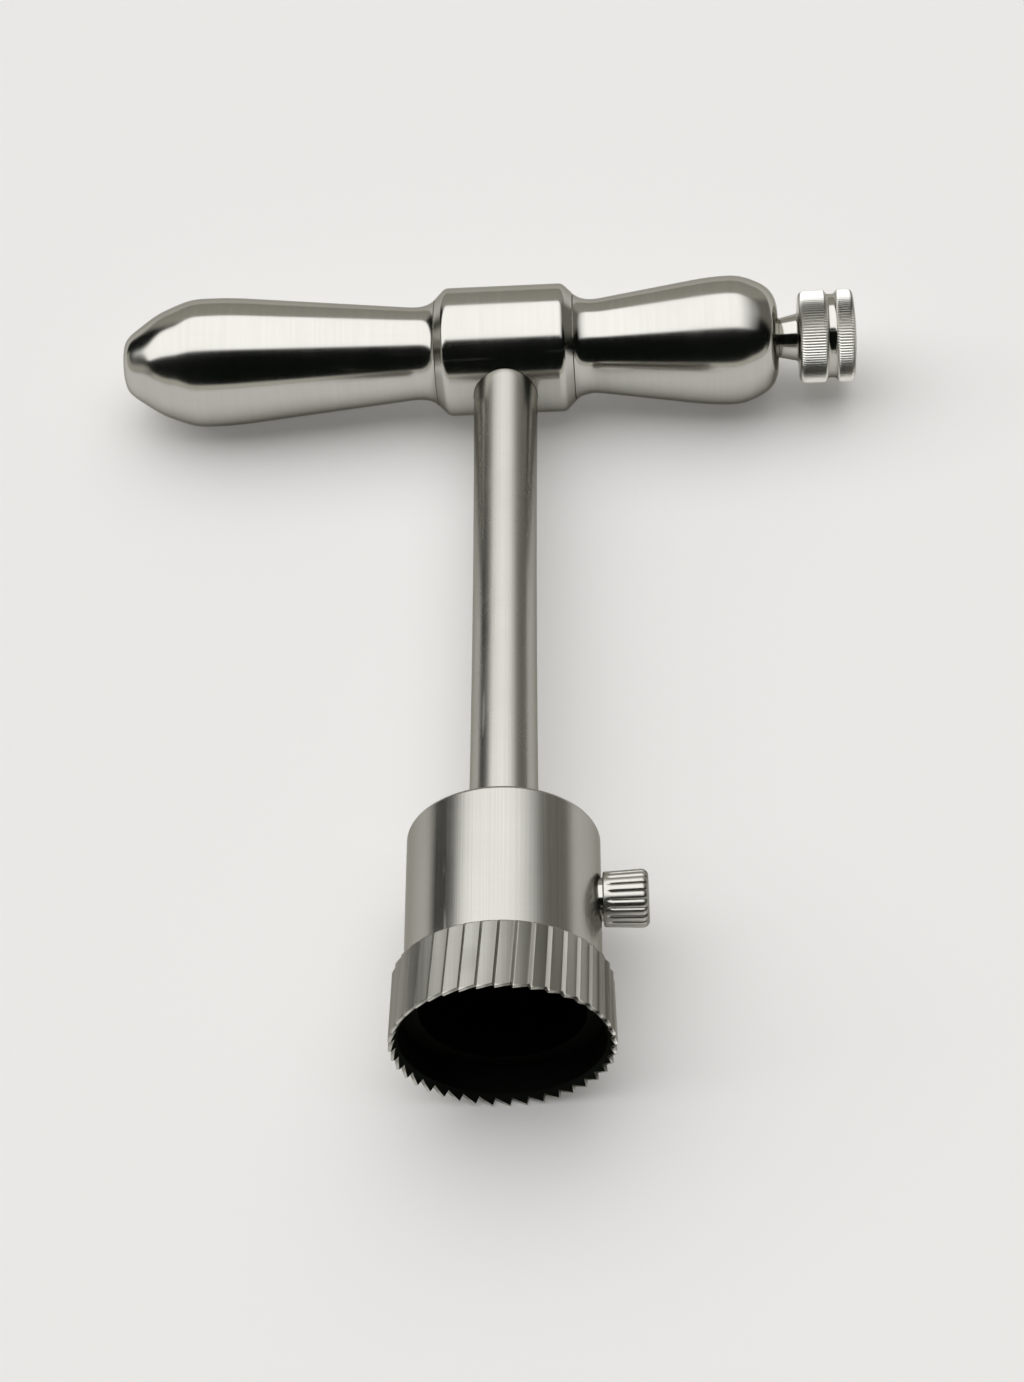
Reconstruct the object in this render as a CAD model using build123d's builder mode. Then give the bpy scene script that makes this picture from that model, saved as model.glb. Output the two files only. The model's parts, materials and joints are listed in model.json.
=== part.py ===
from build123d import *
from math import asin, atan2, cos, degrees, hypot, pi, radians, sin, sqrt, tan
import os

# Hand trephine for the skull, with a cross handle that comes off.
# It lies on its side, as on a table: X runs along the handle to the lock knob,
# Y from the saw crown to the handle, and Z is up. All sizes are in millimetres.
# Heights are measured from the tooth tips, along the cutting axis.
# Places on the handle are measured from the cutting axis, along X.

# Clearances, each on the radius or on one side
run_gap = 0.05
fixed_gap = 0.02

# The most of an outline's straight leg that the rounds at its ends may take
round_room = 0.98

# Saw crown, a fluted ring with teeth
crown_radius = 12.7
crown_taper = 0.25
crown_height = 8.8
crown_edge = 0.25
tooth_count = 40
tooth_depth = 0.65
tooth_land = 0.08
tooth_back_share = 0.86
tooth_edge_wall = 0.4
tooth_bevel_height = 1.0
flute_depth = 0.45
flute_step_share = 0.2
flute_lean = 4.0
saw_wall = 1.15
saw_bore_depth = 4.5
seat_wall = 2.3

# Crown head, the drum that carries the saw crown
head_step = 1.55
head_top = 27.7
head_edge_round = 0.5
spigot_wall = 1.0
web_below_screw = 5.6
web_corner_round = 1.5

# Shaft
shaft_top_radius = 4.1
shaft_waist_radius = 3.92
shaft_foot_radius = 4.08
shaft_stud_radius = 3.0
shaft_stud_length = 4.4
shaft_stud_chamfer = 0.4
shaft_seat_depth = 0.6
pin_bore_spare = 0.4

# Tang of the shaft in the handle
handle_height = 105.75
tang_inset = 0.14
tang_above_handle = 4.3
tang_chamfer = 0.4
seat_below_handle = 3.6
socket_spare = 0.25

# Centre pin
pin_radius = 1.5
pin_below_web = 5.4
pin_length = 28.6
pin_facets = 3
pin_facet_angle = 18.0
pin_end_chamfer = 0.3

# Pin screw, which clamps the centre pin from the side
pin_screw_below_stud = 3.55
pin_screw_radius = 2.5
pin_screw_tip_radius = 1.1
pin_screw_tip_length = 1.6
pin_screw_bottom_gap = 0.3
pin_screw_tenon_radius = 1.6
pin_screw_tenon_length = 3.4
pin_knob_gap = 0.2
pin_knob_inner_radius = 3.15
pin_knob_outer_radius = 3.4
pin_knob_length = 5.2
pin_knob_collar_length = 0.55
pin_knob_edge_round = 0.8
pin_knob_grooves = 20
pin_knob_groove_depth = 0.25

# Handle hub
hub_radius = 8.3
hub_half_length = 8.9
hub_chamfer = 1.3
hub_edge_round = 1.2

# Handle grips, whose necks go on down the hub's chamfer
neck_drop = 1.18
neck_round = 3.0
swell_radius = 8.35
stud_radius = 4.0
stud_wall = 0.95

# Left grip: cone, swell, nose and tip
left_cone_length = 25.72
left_cone_round = 40.0
left_swell_length = 5.0
left_swell_round = 5.0
left_nose_length = 4.4
left_nose_radius = 6.72
left_nose_round = 10.0
left_tip_length = 4.7
left_tip_radius = 3.45
left_tip_round = 1.2

# Right grip: cone, swell and end
right_cone_length = 16.92
right_cone_round = 32.0
right_swell_length = 3.7
right_swell_round = 6.0
right_end_length = 4.65
right_end_radius = 6.25
right_end_round = 3.6

# Lock screw, which clamps the tang from the right end of the handle
lock_tip_radius = 1.7
lock_tip_length = 3.2
lock_tip_chamfer = 0.3
lock_thread_radius = 2.4
lock_thread_length = 10.0
lock_nut_length = 10.0
lock_core_step = 0.3
lock_bore_step = 0.2
lock_tenon_radius = 1.6
lock_tenon_length = 7.6
lock_tenon_spare = 0.3
lock_neck_gap = 0.1
lock_neck_overlap = 1.6
lock_neck_flare = 0.6
lock_neck_length = 2.65
lock_knob_radius = 5.95
lock_knob_flange = 3.3
lock_knob_waist = 1.8
lock_knob_waist_depth = 0.55
lock_knob_end_flange = 1.9
lock_knob_dome = 0.45
lock_knob_inner_round = 0.9
lock_knob_waist_round = 0.4
lock_knob_outer_round = 0.9
lock_knob_grooves = 44
lock_knob_groove_depth = 0.2

# Places along the handle
neck_place = hub_half_length + neck_drop
left_swell_start = neck_place + left_cone_length
left_swell_end = left_swell_start + left_swell_length
left_nose_place = left_swell_end + left_nose_length
left_tip_place = left_nose_place + left_tip_length
right_swell_start = neck_place + right_cone_length
right_swell_end = right_swell_start + right_swell_length
right_end = right_swell_end + right_end_length
lock_neck_start = right_end - lock_neck_overlap
lock_knob_place = right_end + lock_neck_length
lock_waist_start = lock_knob_place + lock_knob_flange
lock_waist_end = lock_waist_start + lock_knob_waist
lock_knob_rim = lock_waist_end + lock_knob_end_flange
lock_end = lock_knob_rim + lock_knob_dome

# How the instrument lies: on one tooth of the saw crown and on both grips' swells
rest_radius = max(swell_radius, hub_radius)
tilt = atan2(crown_radius, handle_height) - asin(rest_radius / hypot(handle_height, crown_radius))
overall_length = handle_height * cos(tilt) + rest_radius + crown_radius * sin(tilt)
rim_centre = (
    (left_tip_place - lock_end) / 2,
    crown_radius * sin(tilt) - overall_length / 2,
    handle_height * sin(tilt) + rest_radius,
)
tool = Plane(origin=rim_centre, x_dir=(1, 0, 0), z_dir=(0, cos(tilt), -sin(tilt)))

# Heights and radii that several pieces share
shaft_seat = head_top - shaft_seat_depth
shaft_foot = shaft_seat - shaft_stud_length
pin_screw_height = shaft_foot - pin_screw_below_stud
web_height = pin_screw_height - web_below_screw
pin_tip_height = web_height - pin_below_web
pin_bore_top = pin_tip_height + pin_length + pin_bore_spare
seat_height = handle_height - seat_below_handle
tang_top = handle_height + tang_above_handle
hub_entry = handle_height - hub_radius
saw_bore_radius = crown_radius - saw_wall
spigot_radius = crown_radius - seat_wall
head_bore_radius = spigot_radius - spigot_wall
head_radius = crown_radius - head_step
shoulder_radius = crown_radius - crown_taper
pin_bore_radius = pin_radius + run_gap
pin_knob_start = head_radius + pin_knob_gap
tang_half = (shaft_top_radius - tang_inset) / sqrt(2)
stud_end = shaft_top_radius + run_gap + stud_wall
seam_radius = hub_radius - hub_chamfer
neck_radius = seam_radius - neck_drop
lock_core_radius = lock_thread_radius - lock_core_step
lock_bore_radius = lock_thread_radius + lock_bore_step
lock_neck_radius = lock_bore_radius - lock_neck_gap


# A plane that cuts the instrument lengthwise, with x across it and y towards the handle
def lengthwise(height):
    return Plane(tool.offset(height).origin, x_dir=tool.x_dir, z_dir=-tool.y_dir)


# A plane square to X, at one place along the handle and one height of the instrument
def crosswise(place, height):
    origin = tool.offset(height).origin + tool.x_dir * place
    return Plane(origin, x_dir=tool.y_dir, z_dir=tool.x_dir)


# The rounds for an outline's inner corners, smaller only where two of them would meet on a leg
def fitted(points, rounds):
    legs = [Vector(*end) - Vector(*start) for start, end in zip(points, points[1:])]
    turns = [radians(leg.get_angle(after)) for leg, after in zip(legs, legs[1:])]
    reaches = [0, *(radius * tan(turn / 2) for radius, turn in zip(rounds, turns)), 0]
    shares = [
        min(1, round_room * leg.length / (before + after))
        for leg, before, after in zip(legs, reaches, reaches[1:])
    ]
    return [radius * min(pair) for radius, pair in zip(rounds, zip(shares, shares[1:]))]


drum_section = lengthwise(0)
handle_section = lengthwise(handle_height)
pin_screw_section = lengthwise(pin_screw_height)
cutting_axis = Axis(tool.origin, tool.z_dir)
handle_axis = Axis(handle_section.origin, tool.x_dir)
pin_screw_axis = Axis(pin_screw_section.origin, tool.x_dir)


# Saw crown: leaning flutes outside, teeth bevelled inside to a thin edge, and a wider bore behind them.
# It is a slight cone, widest at the teeth, so that it doesn't jam in its own cut.
pitch = 360 / tooth_count
flute_turn = degrees(crown_height * tan(radians(flute_lean)) / crown_radius)

with BuildPart() as gullet:
    for reach in (spigot_radius, crown_radius + tooth_depth):
        pitch_length = 2 * pi * reach / tooth_count
        half_gap = (pitch_length - tooth_land) / 2
        deepest = (tooth_back_share - 0.5) * pitch_length
        with BuildSketch(Plane.YZ.offset(reach)):
            with BuildLine():
                Polyline(
                    (half_gap, -tooth_depth),
                    (half_gap, 0),
                    (deepest, tooth_depth),
                    (-half_gap, 0),
                    (-half_gap, -tooth_depth),
                    close=True,
                )
            make_face()
    loft(ruled=True)

with BuildPart() as saw_crown:
    for height, turn, reach in ((0, 0, crown_radius), (crown_height, flute_turn, shoulder_radius)):
        root_radius = reach - flute_depth
        outline = []
        for number in range(tooth_count):
            crest = radians(number * pitch + turn)
            root = crest - radians(pitch * flute_step_share)
            outline.append((root_radius * cos(root), root_radius * sin(root)))
            outline.append((reach * cos(crest), reach * sin(crest)))
        with BuildSketch(tool.offset(height)):
            with BuildLine():
                Polyline(*outline, close=True)
            make_face()
    loft(ruled=True)
    with BuildSketch(drum_section):
        with BuildLine():
            Polyline(
                (0, 0),
                (crown_radius - tooth_edge_wall, 0),
                (saw_bore_radius, tooth_bevel_height),
                (saw_bore_radius, saw_bore_depth),
                (spigot_radius + fixed_gap, saw_bore_depth),
                (spigot_radius + fixed_gap, crown_height),
                (0, crown_height),
                close=True,
            )
        make_face()
    revolve(axis=cutting_axis, mode=Mode.SUBTRACT)
    with BuildSketch(drum_section):
        with BuildLine():
            Polyline(
                (shoulder_radius - crown_edge, crown_height),
                (shoulder_radius, crown_height - crown_edge),
                (shoulder_radius + crown_edge, crown_height),
                close=True,
            )
        make_face()
    revolve(axis=cutting_axis, mode=Mode.SUBTRACT)
    with Locations(tool):
        with PolarLocations(0, tooth_count, start_angle=pitch / 2):
            add(gullet.part, mode=Mode.SUBTRACT)


# Crown head: a drum with a spigot for the saw crown and a web that guides the centre pin
with BuildPart() as crown_head:
    with BuildSketch(drum_section) as head_outline:
        with BuildLine():
            Polyline(
                (spigot_radius, saw_bore_depth),
                (spigot_radius, crown_height),
                (head_radius, crown_height),
                (head_radius, head_top),
                (shaft_foot_radius + fixed_gap, head_top),
                (shaft_foot_radius + fixed_gap, shaft_seat),
                (shaft_stud_radius + fixed_gap, shaft_seat),
                (shaft_stud_radius + fixed_gap, shaft_foot),
                (pin_bore_radius, shaft_foot),
                (pin_bore_radius, web_height),
                (head_bore_radius, web_height),
                (head_bore_radius, saw_bore_depth),
                close=True,
            )
        make_face()
        fillet(head_outline.vertices().group_by(Axis.Y)[-1].sort_by(Axis.X)[-1], head_edge_round)
        web_corner = head_outline.vertices().sort_by_distance((head_bore_radius, web_height))[0]
        fillet(web_corner, web_corner_round)
    revolve(axis=cutting_axis)
    screw_hole_start = pin_bore_radius + pin_screw_tip_length - pin_screw_bottom_gap
    with BuildSketch(crosswise(screw_hole_start, pin_screw_height)):
        Circle(pin_screw_radius + run_gap)
    extrude(amount=head_radius, mode=Mode.SUBTRACT)
    with BuildSketch(crosswise(0, pin_screw_height)):
        Circle(pin_screw_tip_radius + run_gap)
    extrude(amount=head_radius, mode=Mode.SUBTRACT)


# Shaft: a slightly waisted rod, with a stud into the head and a square tang for the handle
with BuildPart() as shaft:
    with BuildSketch(drum_section):
        with BuildLine():
            Polyline(
                (pin_bore_radius, shaft_foot),
                (shaft_stud_radius - shaft_stud_chamfer, shaft_foot),
                (shaft_stud_radius, shaft_foot + shaft_stud_chamfer),
                (shaft_stud_radius, shaft_seat),
                (shaft_foot_radius, shaft_seat),
                (shaft_foot_radius, head_top),
            )
            ThreePointArc(
                (shaft_foot_radius, head_top),
                (shaft_waist_radius, (head_top + hub_entry) / 2),
                (shaft_top_radius, hub_entry),
            )
            Polyline(
                (shaft_top_radius, hub_entry),
                (shaft_top_radius, seat_height),
                (0, seat_height),
                (0, pin_bore_top),
                (pin_bore_radius, pin_bore_top),
                (pin_bore_radius, shaft_foot),
            )
        make_face()
    revolve(axis=cutting_axis)
    with BuildSketch(tool.offset(seat_height)):
        Rectangle(2 * tang_half, 2 * tang_half)
    extrude(amount=tang_top - seat_height)
    chamfer(shaft.faces().sort_by(cutting_axis)[-1].edges(), tang_chamfer)


# Centre pin with a three-sided trocar point
with BuildPart() as facet:
    facet_height = 2 * pin_radius / tan(radians(pin_facet_angle))
    with BuildSketch(Plane.XZ):
        with BuildLine():
            Polyline(
                (0, 0),
                (2 * pin_radius, facet_height),
                (4 * pin_radius, facet_height),
                (4 * pin_radius, 0),
                close=True,
            )
        make_face()
    extrude(amount=2 * pin_radius, both=True)

with BuildPart() as centre_pin:
    with BuildSketch(tool.offset(pin_tip_height)):
        Circle(pin_radius)
    extrude(amount=pin_length)
    chamfer(centre_pin.edges().sort_by(cutting_axis)[-1], pin_end_chamfer)
    with Locations(tool.offset(pin_tip_height)):
        with PolarLocations(0, pin_facets):
            add(facet.part, mode=Mode.SUBTRACT)


# Pin screw: its tip clamps the pin, its tenon carries the knob
pin_screw_tip = pin_radius + fixed_gap
pin_screw_shoulder = pin_screw_tip + pin_screw_tip_length
pin_screw_end = pin_knob_start + pin_screw_tenon_length

with BuildPart() as pin_screw:
    with BuildSketch(pin_screw_section):
        with BuildLine():
            Polyline(
                (pin_screw_tip, 0),
                (pin_screw_tip, pin_screw_tip_radius),
                (pin_screw_shoulder, pin_screw_tip_radius),
                (pin_screw_shoulder, pin_screw_radius),
                (pin_knob_start, pin_screw_radius),
                (pin_knob_start, pin_screw_tenon_radius),
                (pin_screw_end, pin_screw_tenon_radius),
                (pin_screw_end, 0),
                close=True,
            )
        make_face()
    revolve(axis=pin_screw_axis)


# Knob of the pin screw: a slight cone with coarse straight ridges behind a plain collar
pin_knob_end = pin_knob_start + pin_knob_length
pin_knob_bore = pin_screw_tenon_radius + run_gap

with BuildPart() as pin_screw_knob:
    with BuildSketch(pin_screw_section) as knob_outline:
        with BuildLine():
            Polyline(
                (pin_knob_start, pin_knob_bore),
                (pin_knob_start, pin_knob_inner_radius),
                (pin_knob_end, pin_knob_outer_radius),
                (pin_knob_end, 0),
                (pin_screw_end + run_gap, 0),
                (pin_screw_end + run_gap, pin_knob_bore),
                close=True,
            )
        make_face()
        fillet(knob_outline.vertices().sort_by(Axis.Y)[-1], pin_knob_edge_round)
    revolve(axis=pin_screw_axis)
    with BuildSketch(crosswise(pin_knob_start + pin_knob_collar_length, pin_screw_height)):
        with PolarLocations((pin_knob_inner_radius + pin_knob_outer_radius) / 2, pin_knob_grooves):
            RegularPolygon(pin_knob_groove_depth, 4)
    extrude(amount=pin_knob_length, mode=Mode.SUBTRACT)


# Handle hub: a chamfered barrel with the shaft's socket and a bore at each end
socket_top = tang_top + socket_spare
socket_width = 2 * (tang_half + run_gap)

with BuildPart() as hub:
    with BuildSketch(handle_section) as hub_outline:
        with BuildLine():
            Polyline(
                (-hub_half_length, 0),
                (-hub_half_length, seam_radius),
                (hub_chamfer - hub_half_length, hub_radius),
                (hub_half_length - hub_chamfer, hub_radius),
                (hub_half_length, seam_radius),
                (hub_half_length, 0),
                close=True,
            )
        make_face()
        fillet(hub_outline.vertices().group_by(Axis.Y)[-1], hub_edge_round)
    revolve(axis=handle_axis)
    for side in (-1, 1):
        with BuildSketch(crosswise(side * stud_end, handle_height)):
            Circle(stud_radius + fixed_gap)
        extrude(amount=side * hub_half_length, mode=Mode.SUBTRACT)
    with BuildSketch(tool.offset(seat_height)):
        Rectangle(socket_width, socket_width)
    extrude(amount=socket_top - seat_height, mode=Mode.SUBTRACT)
    with BuildSketch(tool.offset(seat_height)):
        Circle(shaft_top_radius + run_gap)
    extrude(amount=-hub_radius, mode=Mode.SUBTRACT)
    with BuildSketch(crosswise(0, handle_height)):
        Circle(lock_tip_radius + run_gap)
    extrude(amount=hub_half_length, mode=Mode.SUBTRACT)


# Left grip: a long cone that swells, then tapers to a small flat end
left_outline = [
    (-hub_half_length, seam_radius),
    (-neck_place, neck_radius),
    (-left_swell_start, swell_radius),
    (-left_swell_end, swell_radius),
    (-left_nose_place, left_nose_radius),
    (-left_tip_place, left_tip_radius),
    (-left_tip_place, 0),
]
left_rounds = [neck_round, left_cone_round, left_swell_round, left_nose_round, left_tip_round]

with BuildPart() as left_grip:
    with BuildSketch(handle_section):
        with BuildLine():
            FilletPolyline(*left_outline, radius=fitted(left_outline, left_rounds))
            Polyline(
                (-left_tip_place, 0),
                (-stud_end, 0),
                (-stud_end, stud_radius),
                (-hub_half_length, stud_radius),
                (-hub_half_length, seam_radius),
            )
        make_face()
    revolve(axis=handle_axis)


# Right grip: a shorter cone with a full round end, bored for the lock screw
lock_nut_end = stud_end + lock_nut_length
lock_nut_radius = lock_thread_radius + run_gap
right_outline = [
    (hub_half_length, seam_radius),
    (neck_place, neck_radius),
    (right_swell_start, swell_radius),
    (right_swell_end, swell_radius),
    (right_end, right_end_radius),
    (right_end, lock_bore_radius),
]
right_rounds = [neck_round, right_cone_round, right_swell_round, right_end_round]

with BuildPart() as right_grip:
    with BuildSketch(handle_section):
        with BuildLine():
            FilletPolyline(*right_outline, radius=fitted(right_outline, right_rounds))
            Polyline(
                (right_end, lock_bore_radius),
                (lock_nut_end, lock_bore_radius),
                (lock_nut_end, lock_nut_radius),
                (stud_end, lock_nut_radius),
                (stud_end, stud_radius),
                (hub_half_length, stud_radius),
                (hub_half_length, seam_radius),
            )
        make_face()
    revolve(axis=handle_axis)


# Lock spindle: its tip bears on the tang, its thread runs in the right grip
lock_tip = tang_half + fixed_gap
lock_thread_start = lock_tip + lock_tip_length
lock_thread_end = lock_thread_start + lock_thread_length
lock_tenon_end = lock_neck_start + lock_tenon_length

with BuildPart() as lock_spindle:
    with BuildSketch(handle_section):
        with BuildLine():
            Polyline(
                (lock_tip, 0),
                (lock_tip, lock_tip_radius - lock_tip_chamfer),
                (lock_tip + lock_tip_chamfer, lock_tip_radius),
                (lock_thread_start, lock_tip_radius),
                (lock_thread_start, lock_thread_radius),
                (lock_thread_end, lock_thread_radius),
                (lock_thread_end, lock_core_radius),
                (lock_neck_start, lock_core_radius),
                (lock_neck_start, lock_tenon_radius),
                (lock_tenon_end, lock_tenon_radius),
                (lock_tenon_end, 0),
                close=True,
            )
        make_face()
    revolve(axis=handle_axis)


# Lock knob: a flared neck, then two ridged flanges with a smooth waist between them
lock_waist_radius = lock_knob_radius - lock_knob_waist_depth
lock_knob_bore = lock_tenon_radius + run_gap
lock_knob_bore_end = lock_tenon_end + lock_tenon_spare

with BuildPart() as lock_knob:
    with BuildSketch(handle_section) as lock_outline:
        with BuildLine():
            Polyline(
                (lock_neck_start, lock_knob_bore),
                (lock_neck_start, lock_neck_radius),
                (right_end, lock_neck_radius),
                (lock_knob_place, lock_neck_radius + lock_neck_flare),
                (lock_knob_place, lock_knob_radius),
                (lock_waist_start, lock_knob_radius),
                (lock_waist_start, lock_waist_radius),
                (lock_waist_end, lock_waist_radius),
                (lock_waist_end, lock_knob_radius),
                (lock_knob_rim, lock_knob_radius),
            )
            RadiusArc(
                (lock_knob_rim, lock_knob_radius),
                (lock_end, 0),
                (lock_knob_radius**2 + lock_knob_dome**2) / (2 * lock_knob_dome),
            )
            Polyline(
                (lock_end, 0),
                (lock_knob_bore_end, 0),
                (lock_knob_bore_end, lock_knob_bore),
                (lock_neck_start, lock_knob_bore),
            )
        make_face()
        rims = lock_outline.vertices().group_by(Axis.Y)[-1].sort_by(Axis.X)
        fillet(rims[0], lock_knob_inner_round)
        fillet(rims[1:3], lock_knob_waist_round)
        fillet(rims[3], lock_knob_outer_round)
    revolve(axis=handle_axis)
    with BuildSketch(crosswise(lock_knob_place, handle_height)):
        with PolarLocations(lock_knob_radius, lock_knob_grooves):
            RegularPolygon(lock_knob_groove_depth, 4)
    extrude(amount=lock_end - lock_knob_place, mode=Mode.SUBTRACT)


# Each finished piece goes to its own file
hub.part.label = "hub"
left_grip.part.label = "left_grip"
right_grip.part.label = "right_grip"
lock_spindle.part.label = "lock_spindle"
lock_knob.part.label = "lock_knob"
shaft.part.label = "shaft"
crown_head.part.label = "crown_head"
saw_crown.part.label = "saw_crown"
centre_pin.part.label = "centre_pin"
pin_screw.part.label = "pin_screw"
pin_screw_knob.part.label = "pin_screw_knob"

os.makedirs("parts", exist_ok=True)
export_step(hub.part, "parts/hub.step")
export_step(left_grip.part, "parts/left_grip.step")
export_step(right_grip.part, "parts/right_grip.step")
export_step(lock_spindle.part, "parts/lock_spindle.step")
export_step(lock_knob.part, "parts/lock_knob.step")
export_step(shaft.part, "parts/shaft.step")
export_step(crown_head.part, "parts/crown_head.step")
export_step(saw_crown.part, "parts/saw_crown.step")
export_step(centre_pin.part, "parts/centre_pin.step")
export_step(pin_screw.part, "parts/pin_screw.step")
export_step(pin_screw_knob.part, "parts/pin_screw_knob.step")
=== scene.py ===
import json
import math

import bmesh
import bpy
from mathutils import Matrix, Vector


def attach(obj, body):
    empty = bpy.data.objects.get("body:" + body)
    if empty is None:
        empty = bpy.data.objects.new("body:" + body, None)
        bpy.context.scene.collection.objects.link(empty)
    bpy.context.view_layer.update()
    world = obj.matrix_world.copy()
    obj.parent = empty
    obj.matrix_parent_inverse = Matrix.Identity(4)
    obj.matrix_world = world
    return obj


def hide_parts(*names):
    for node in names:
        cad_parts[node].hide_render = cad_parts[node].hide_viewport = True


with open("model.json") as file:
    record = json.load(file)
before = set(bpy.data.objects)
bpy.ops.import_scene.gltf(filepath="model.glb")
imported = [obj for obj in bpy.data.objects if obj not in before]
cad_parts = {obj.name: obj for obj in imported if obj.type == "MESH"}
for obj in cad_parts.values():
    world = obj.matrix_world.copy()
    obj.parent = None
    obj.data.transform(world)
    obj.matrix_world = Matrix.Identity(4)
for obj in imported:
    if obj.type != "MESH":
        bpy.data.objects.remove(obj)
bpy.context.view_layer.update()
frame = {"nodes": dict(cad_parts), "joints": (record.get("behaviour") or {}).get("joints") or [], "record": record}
mm = 0.001
print("frame loaded:", len(frame["nodes"]), "nodes")

# Where the instrument lies: the cutting axis, the handle's axis and the pin screw's axis
joints = {joint["name"]: joint for joint in frame["joints"]}
mounts = {mount["name"]: mount for mount in frame["record"]["mounts"]}
boreMountHeight = 2.75 * mm
alongHandle = Vector((1, 0, 0))
towardsHandle = -Vector(joints["cutter_release"]["axis"]).normalized()
belowTool = towardsHandle.cross(alongHandle)
rimCentre = Vector(mounts["crown_bore"]["pos_m"]) - boreMountHeight * towardsHandle
handleCentre = Vector(joints["lock_turn"]["pos_m"])
screwCentre = Vector(joints["pin_screw_turn"]["pos_m"])


def axisMatrix(origin, side, axis):
    # local Z runs along the axis and local X to one side of it
    columns = [side, axis.cross(side), axis, origin]
    return Matrix([[column[row] for column in columns] for row in range(3)] + [[0, 0, 0, 1]])


toolMatrix = axisMatrix(rimCentre, alongHandle, towardsHandle)
handleMatrix = axisMatrix(handleCentre, belowTool, alongHandle)
screwMatrix = axisMatrix(screwCentre, belowTool, alongHandle)


# Camera
cameraView = {
    "lens": 82.54,
    "sensor": 36.0,
    "back": (0.0522, 0.7837, 0.607),  # towards the camera: along the handle, above the tool, beyond the teeth
    "roll": 0.165,                    # degrees
    "rimRight": -0.913 * mm,          # where the rim's centre is from the middle of the picture
    "rimUp": -39.227 * mm,
    "distance": 348.21 * mm,
}


def makeCamera(v):
    data = bpy.data.cameras.new("camera")
    data.lens = v["lens"]
    data.sensor_width = v["sensor"]
    camera = bpy.data.objects.new("camera", data)
    bpy.context.scene.collection.objects.link(camera)
    back = v["back"][0] * alongHandle - v["back"][1] * belowTool - v["back"][2] * towardsHandle
    back.normalize()
    right = towardsHandle.cross(back).normalized()
    up = back.cross(right)
    place = rimCentre - v["rimRight"] * right - v["rimUp"] * up + v["distance"] * back
    level = Matrix([[right[i], up[i], back[i], place[i]] for i in range(3)] + [[0, 0, 0, 1]])
    camera.matrix_world = level @ Matrix.Rotation(math.radians(v["roll"]), 4, "Z")
    bpy.context.scene.camera = camera


makeCamera(cameraView)
print("camera made")


# Small helpers for shader node trees
def nodeIn(tree, kind, inputs=None, **settings):
    node = tree.nodes.new(kind)
    for name, value in settings.items():
        setattr(node, name, value)
    for name, value in (inputs or {}).items():
        if isinstance(value, bpy.types.NodeSocket):
            tree.links.new(value, node.inputs[name])
        else:
            node.inputs[name].default_value = value
    return node


def mathIn(tree, operation, first, second=0.0, third=0.0, clamp=False):
    return nodeIn(tree, "ShaderNodeMath", {0: first, 1: second, 2: third},
                  operation=operation, use_clamp=clamp).outputs[0]


def rampIn(tree, value, start, end):
    # 0 at start, 1 at end, smooth between them
    return nodeIn(tree, "ShaderNodeMapRange", {"Value": value, "From Min": start, "From Max": end},
                  interpolation_type="SMOOTHSTEP").outputs[0]


def mixIn(tree, factor, first, second):
    return nodeIn(tree, "ShaderNodeMix", {0: factor, 6: first, 7: second}, data_type="RGBA").outputs[2]


def windowIn(tree, value, low, high, soft):
    # 1 between low and high, falling to 0 over the soft width at each end
    return mathIn(tree, "SUBTRACT", rampIn(tree, value, low - soft, low + soft),
                  rampIn(tree, value, high - soft, high + soft))


# Studio: one wide softbox overhead and behind, a dark room in front, pale paper low in front and a dim
# wall on the left. Pairs are where a change begins and ends, on the view line's x, y and z or their ratios.
studio = {
    "softboxLight": 1.72,
    "softboxAcross": (-3.2, 1.02),    # edges on the plane one metre up, left to right
    "softboxAlong": (-0.36, 1.28),    # edges on the plane one metre up, front to back
    "edge": 0.05,
    "edgeAtFarLeft": 0.30,            # how much softer the rear edge gets towards the left
    "farLeft": (-0.5, -2.5),
    "edgeAtRight": 0.35,
    "rightFalloff": 0.55,             # how much the light drops from the middle to the right edge
    "falloffRange": (0.15, 1.0),
    "dark": (0.0045, 0.006, 0.0042, 1),
    "rearGrey": (0.42, 0.405, 0.365, 1),
    "rearRange": (0.45, 0.75),
    "rearSides": (1.1, 0.7),
    "rightGrey": (0.20, 0.195, 0.175, 1),
    "rightRange": (0.3, 0.75),
    "rightBehind": (0.0, 0.3),
    "leftWall": (0.50, 0.49, 0.44, 1),
    "leftWallRange": (-0.3, -0.5),
    "leftWallSpan": (-0.3, 0.45),     # its ends along y, for one of x
    "leftWallSoft": 0.1,
    "leftWallTop": (0.22, 0.12),
    "frontPaper": (0.60, 0.585, 0.53, 1),
    "frontRange": (-0.2, -0.5),
    "frontPaperTop": (0.16, 0.12),
    "backdrop": (0.92, 0.915, 0.90, 1),
}


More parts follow.
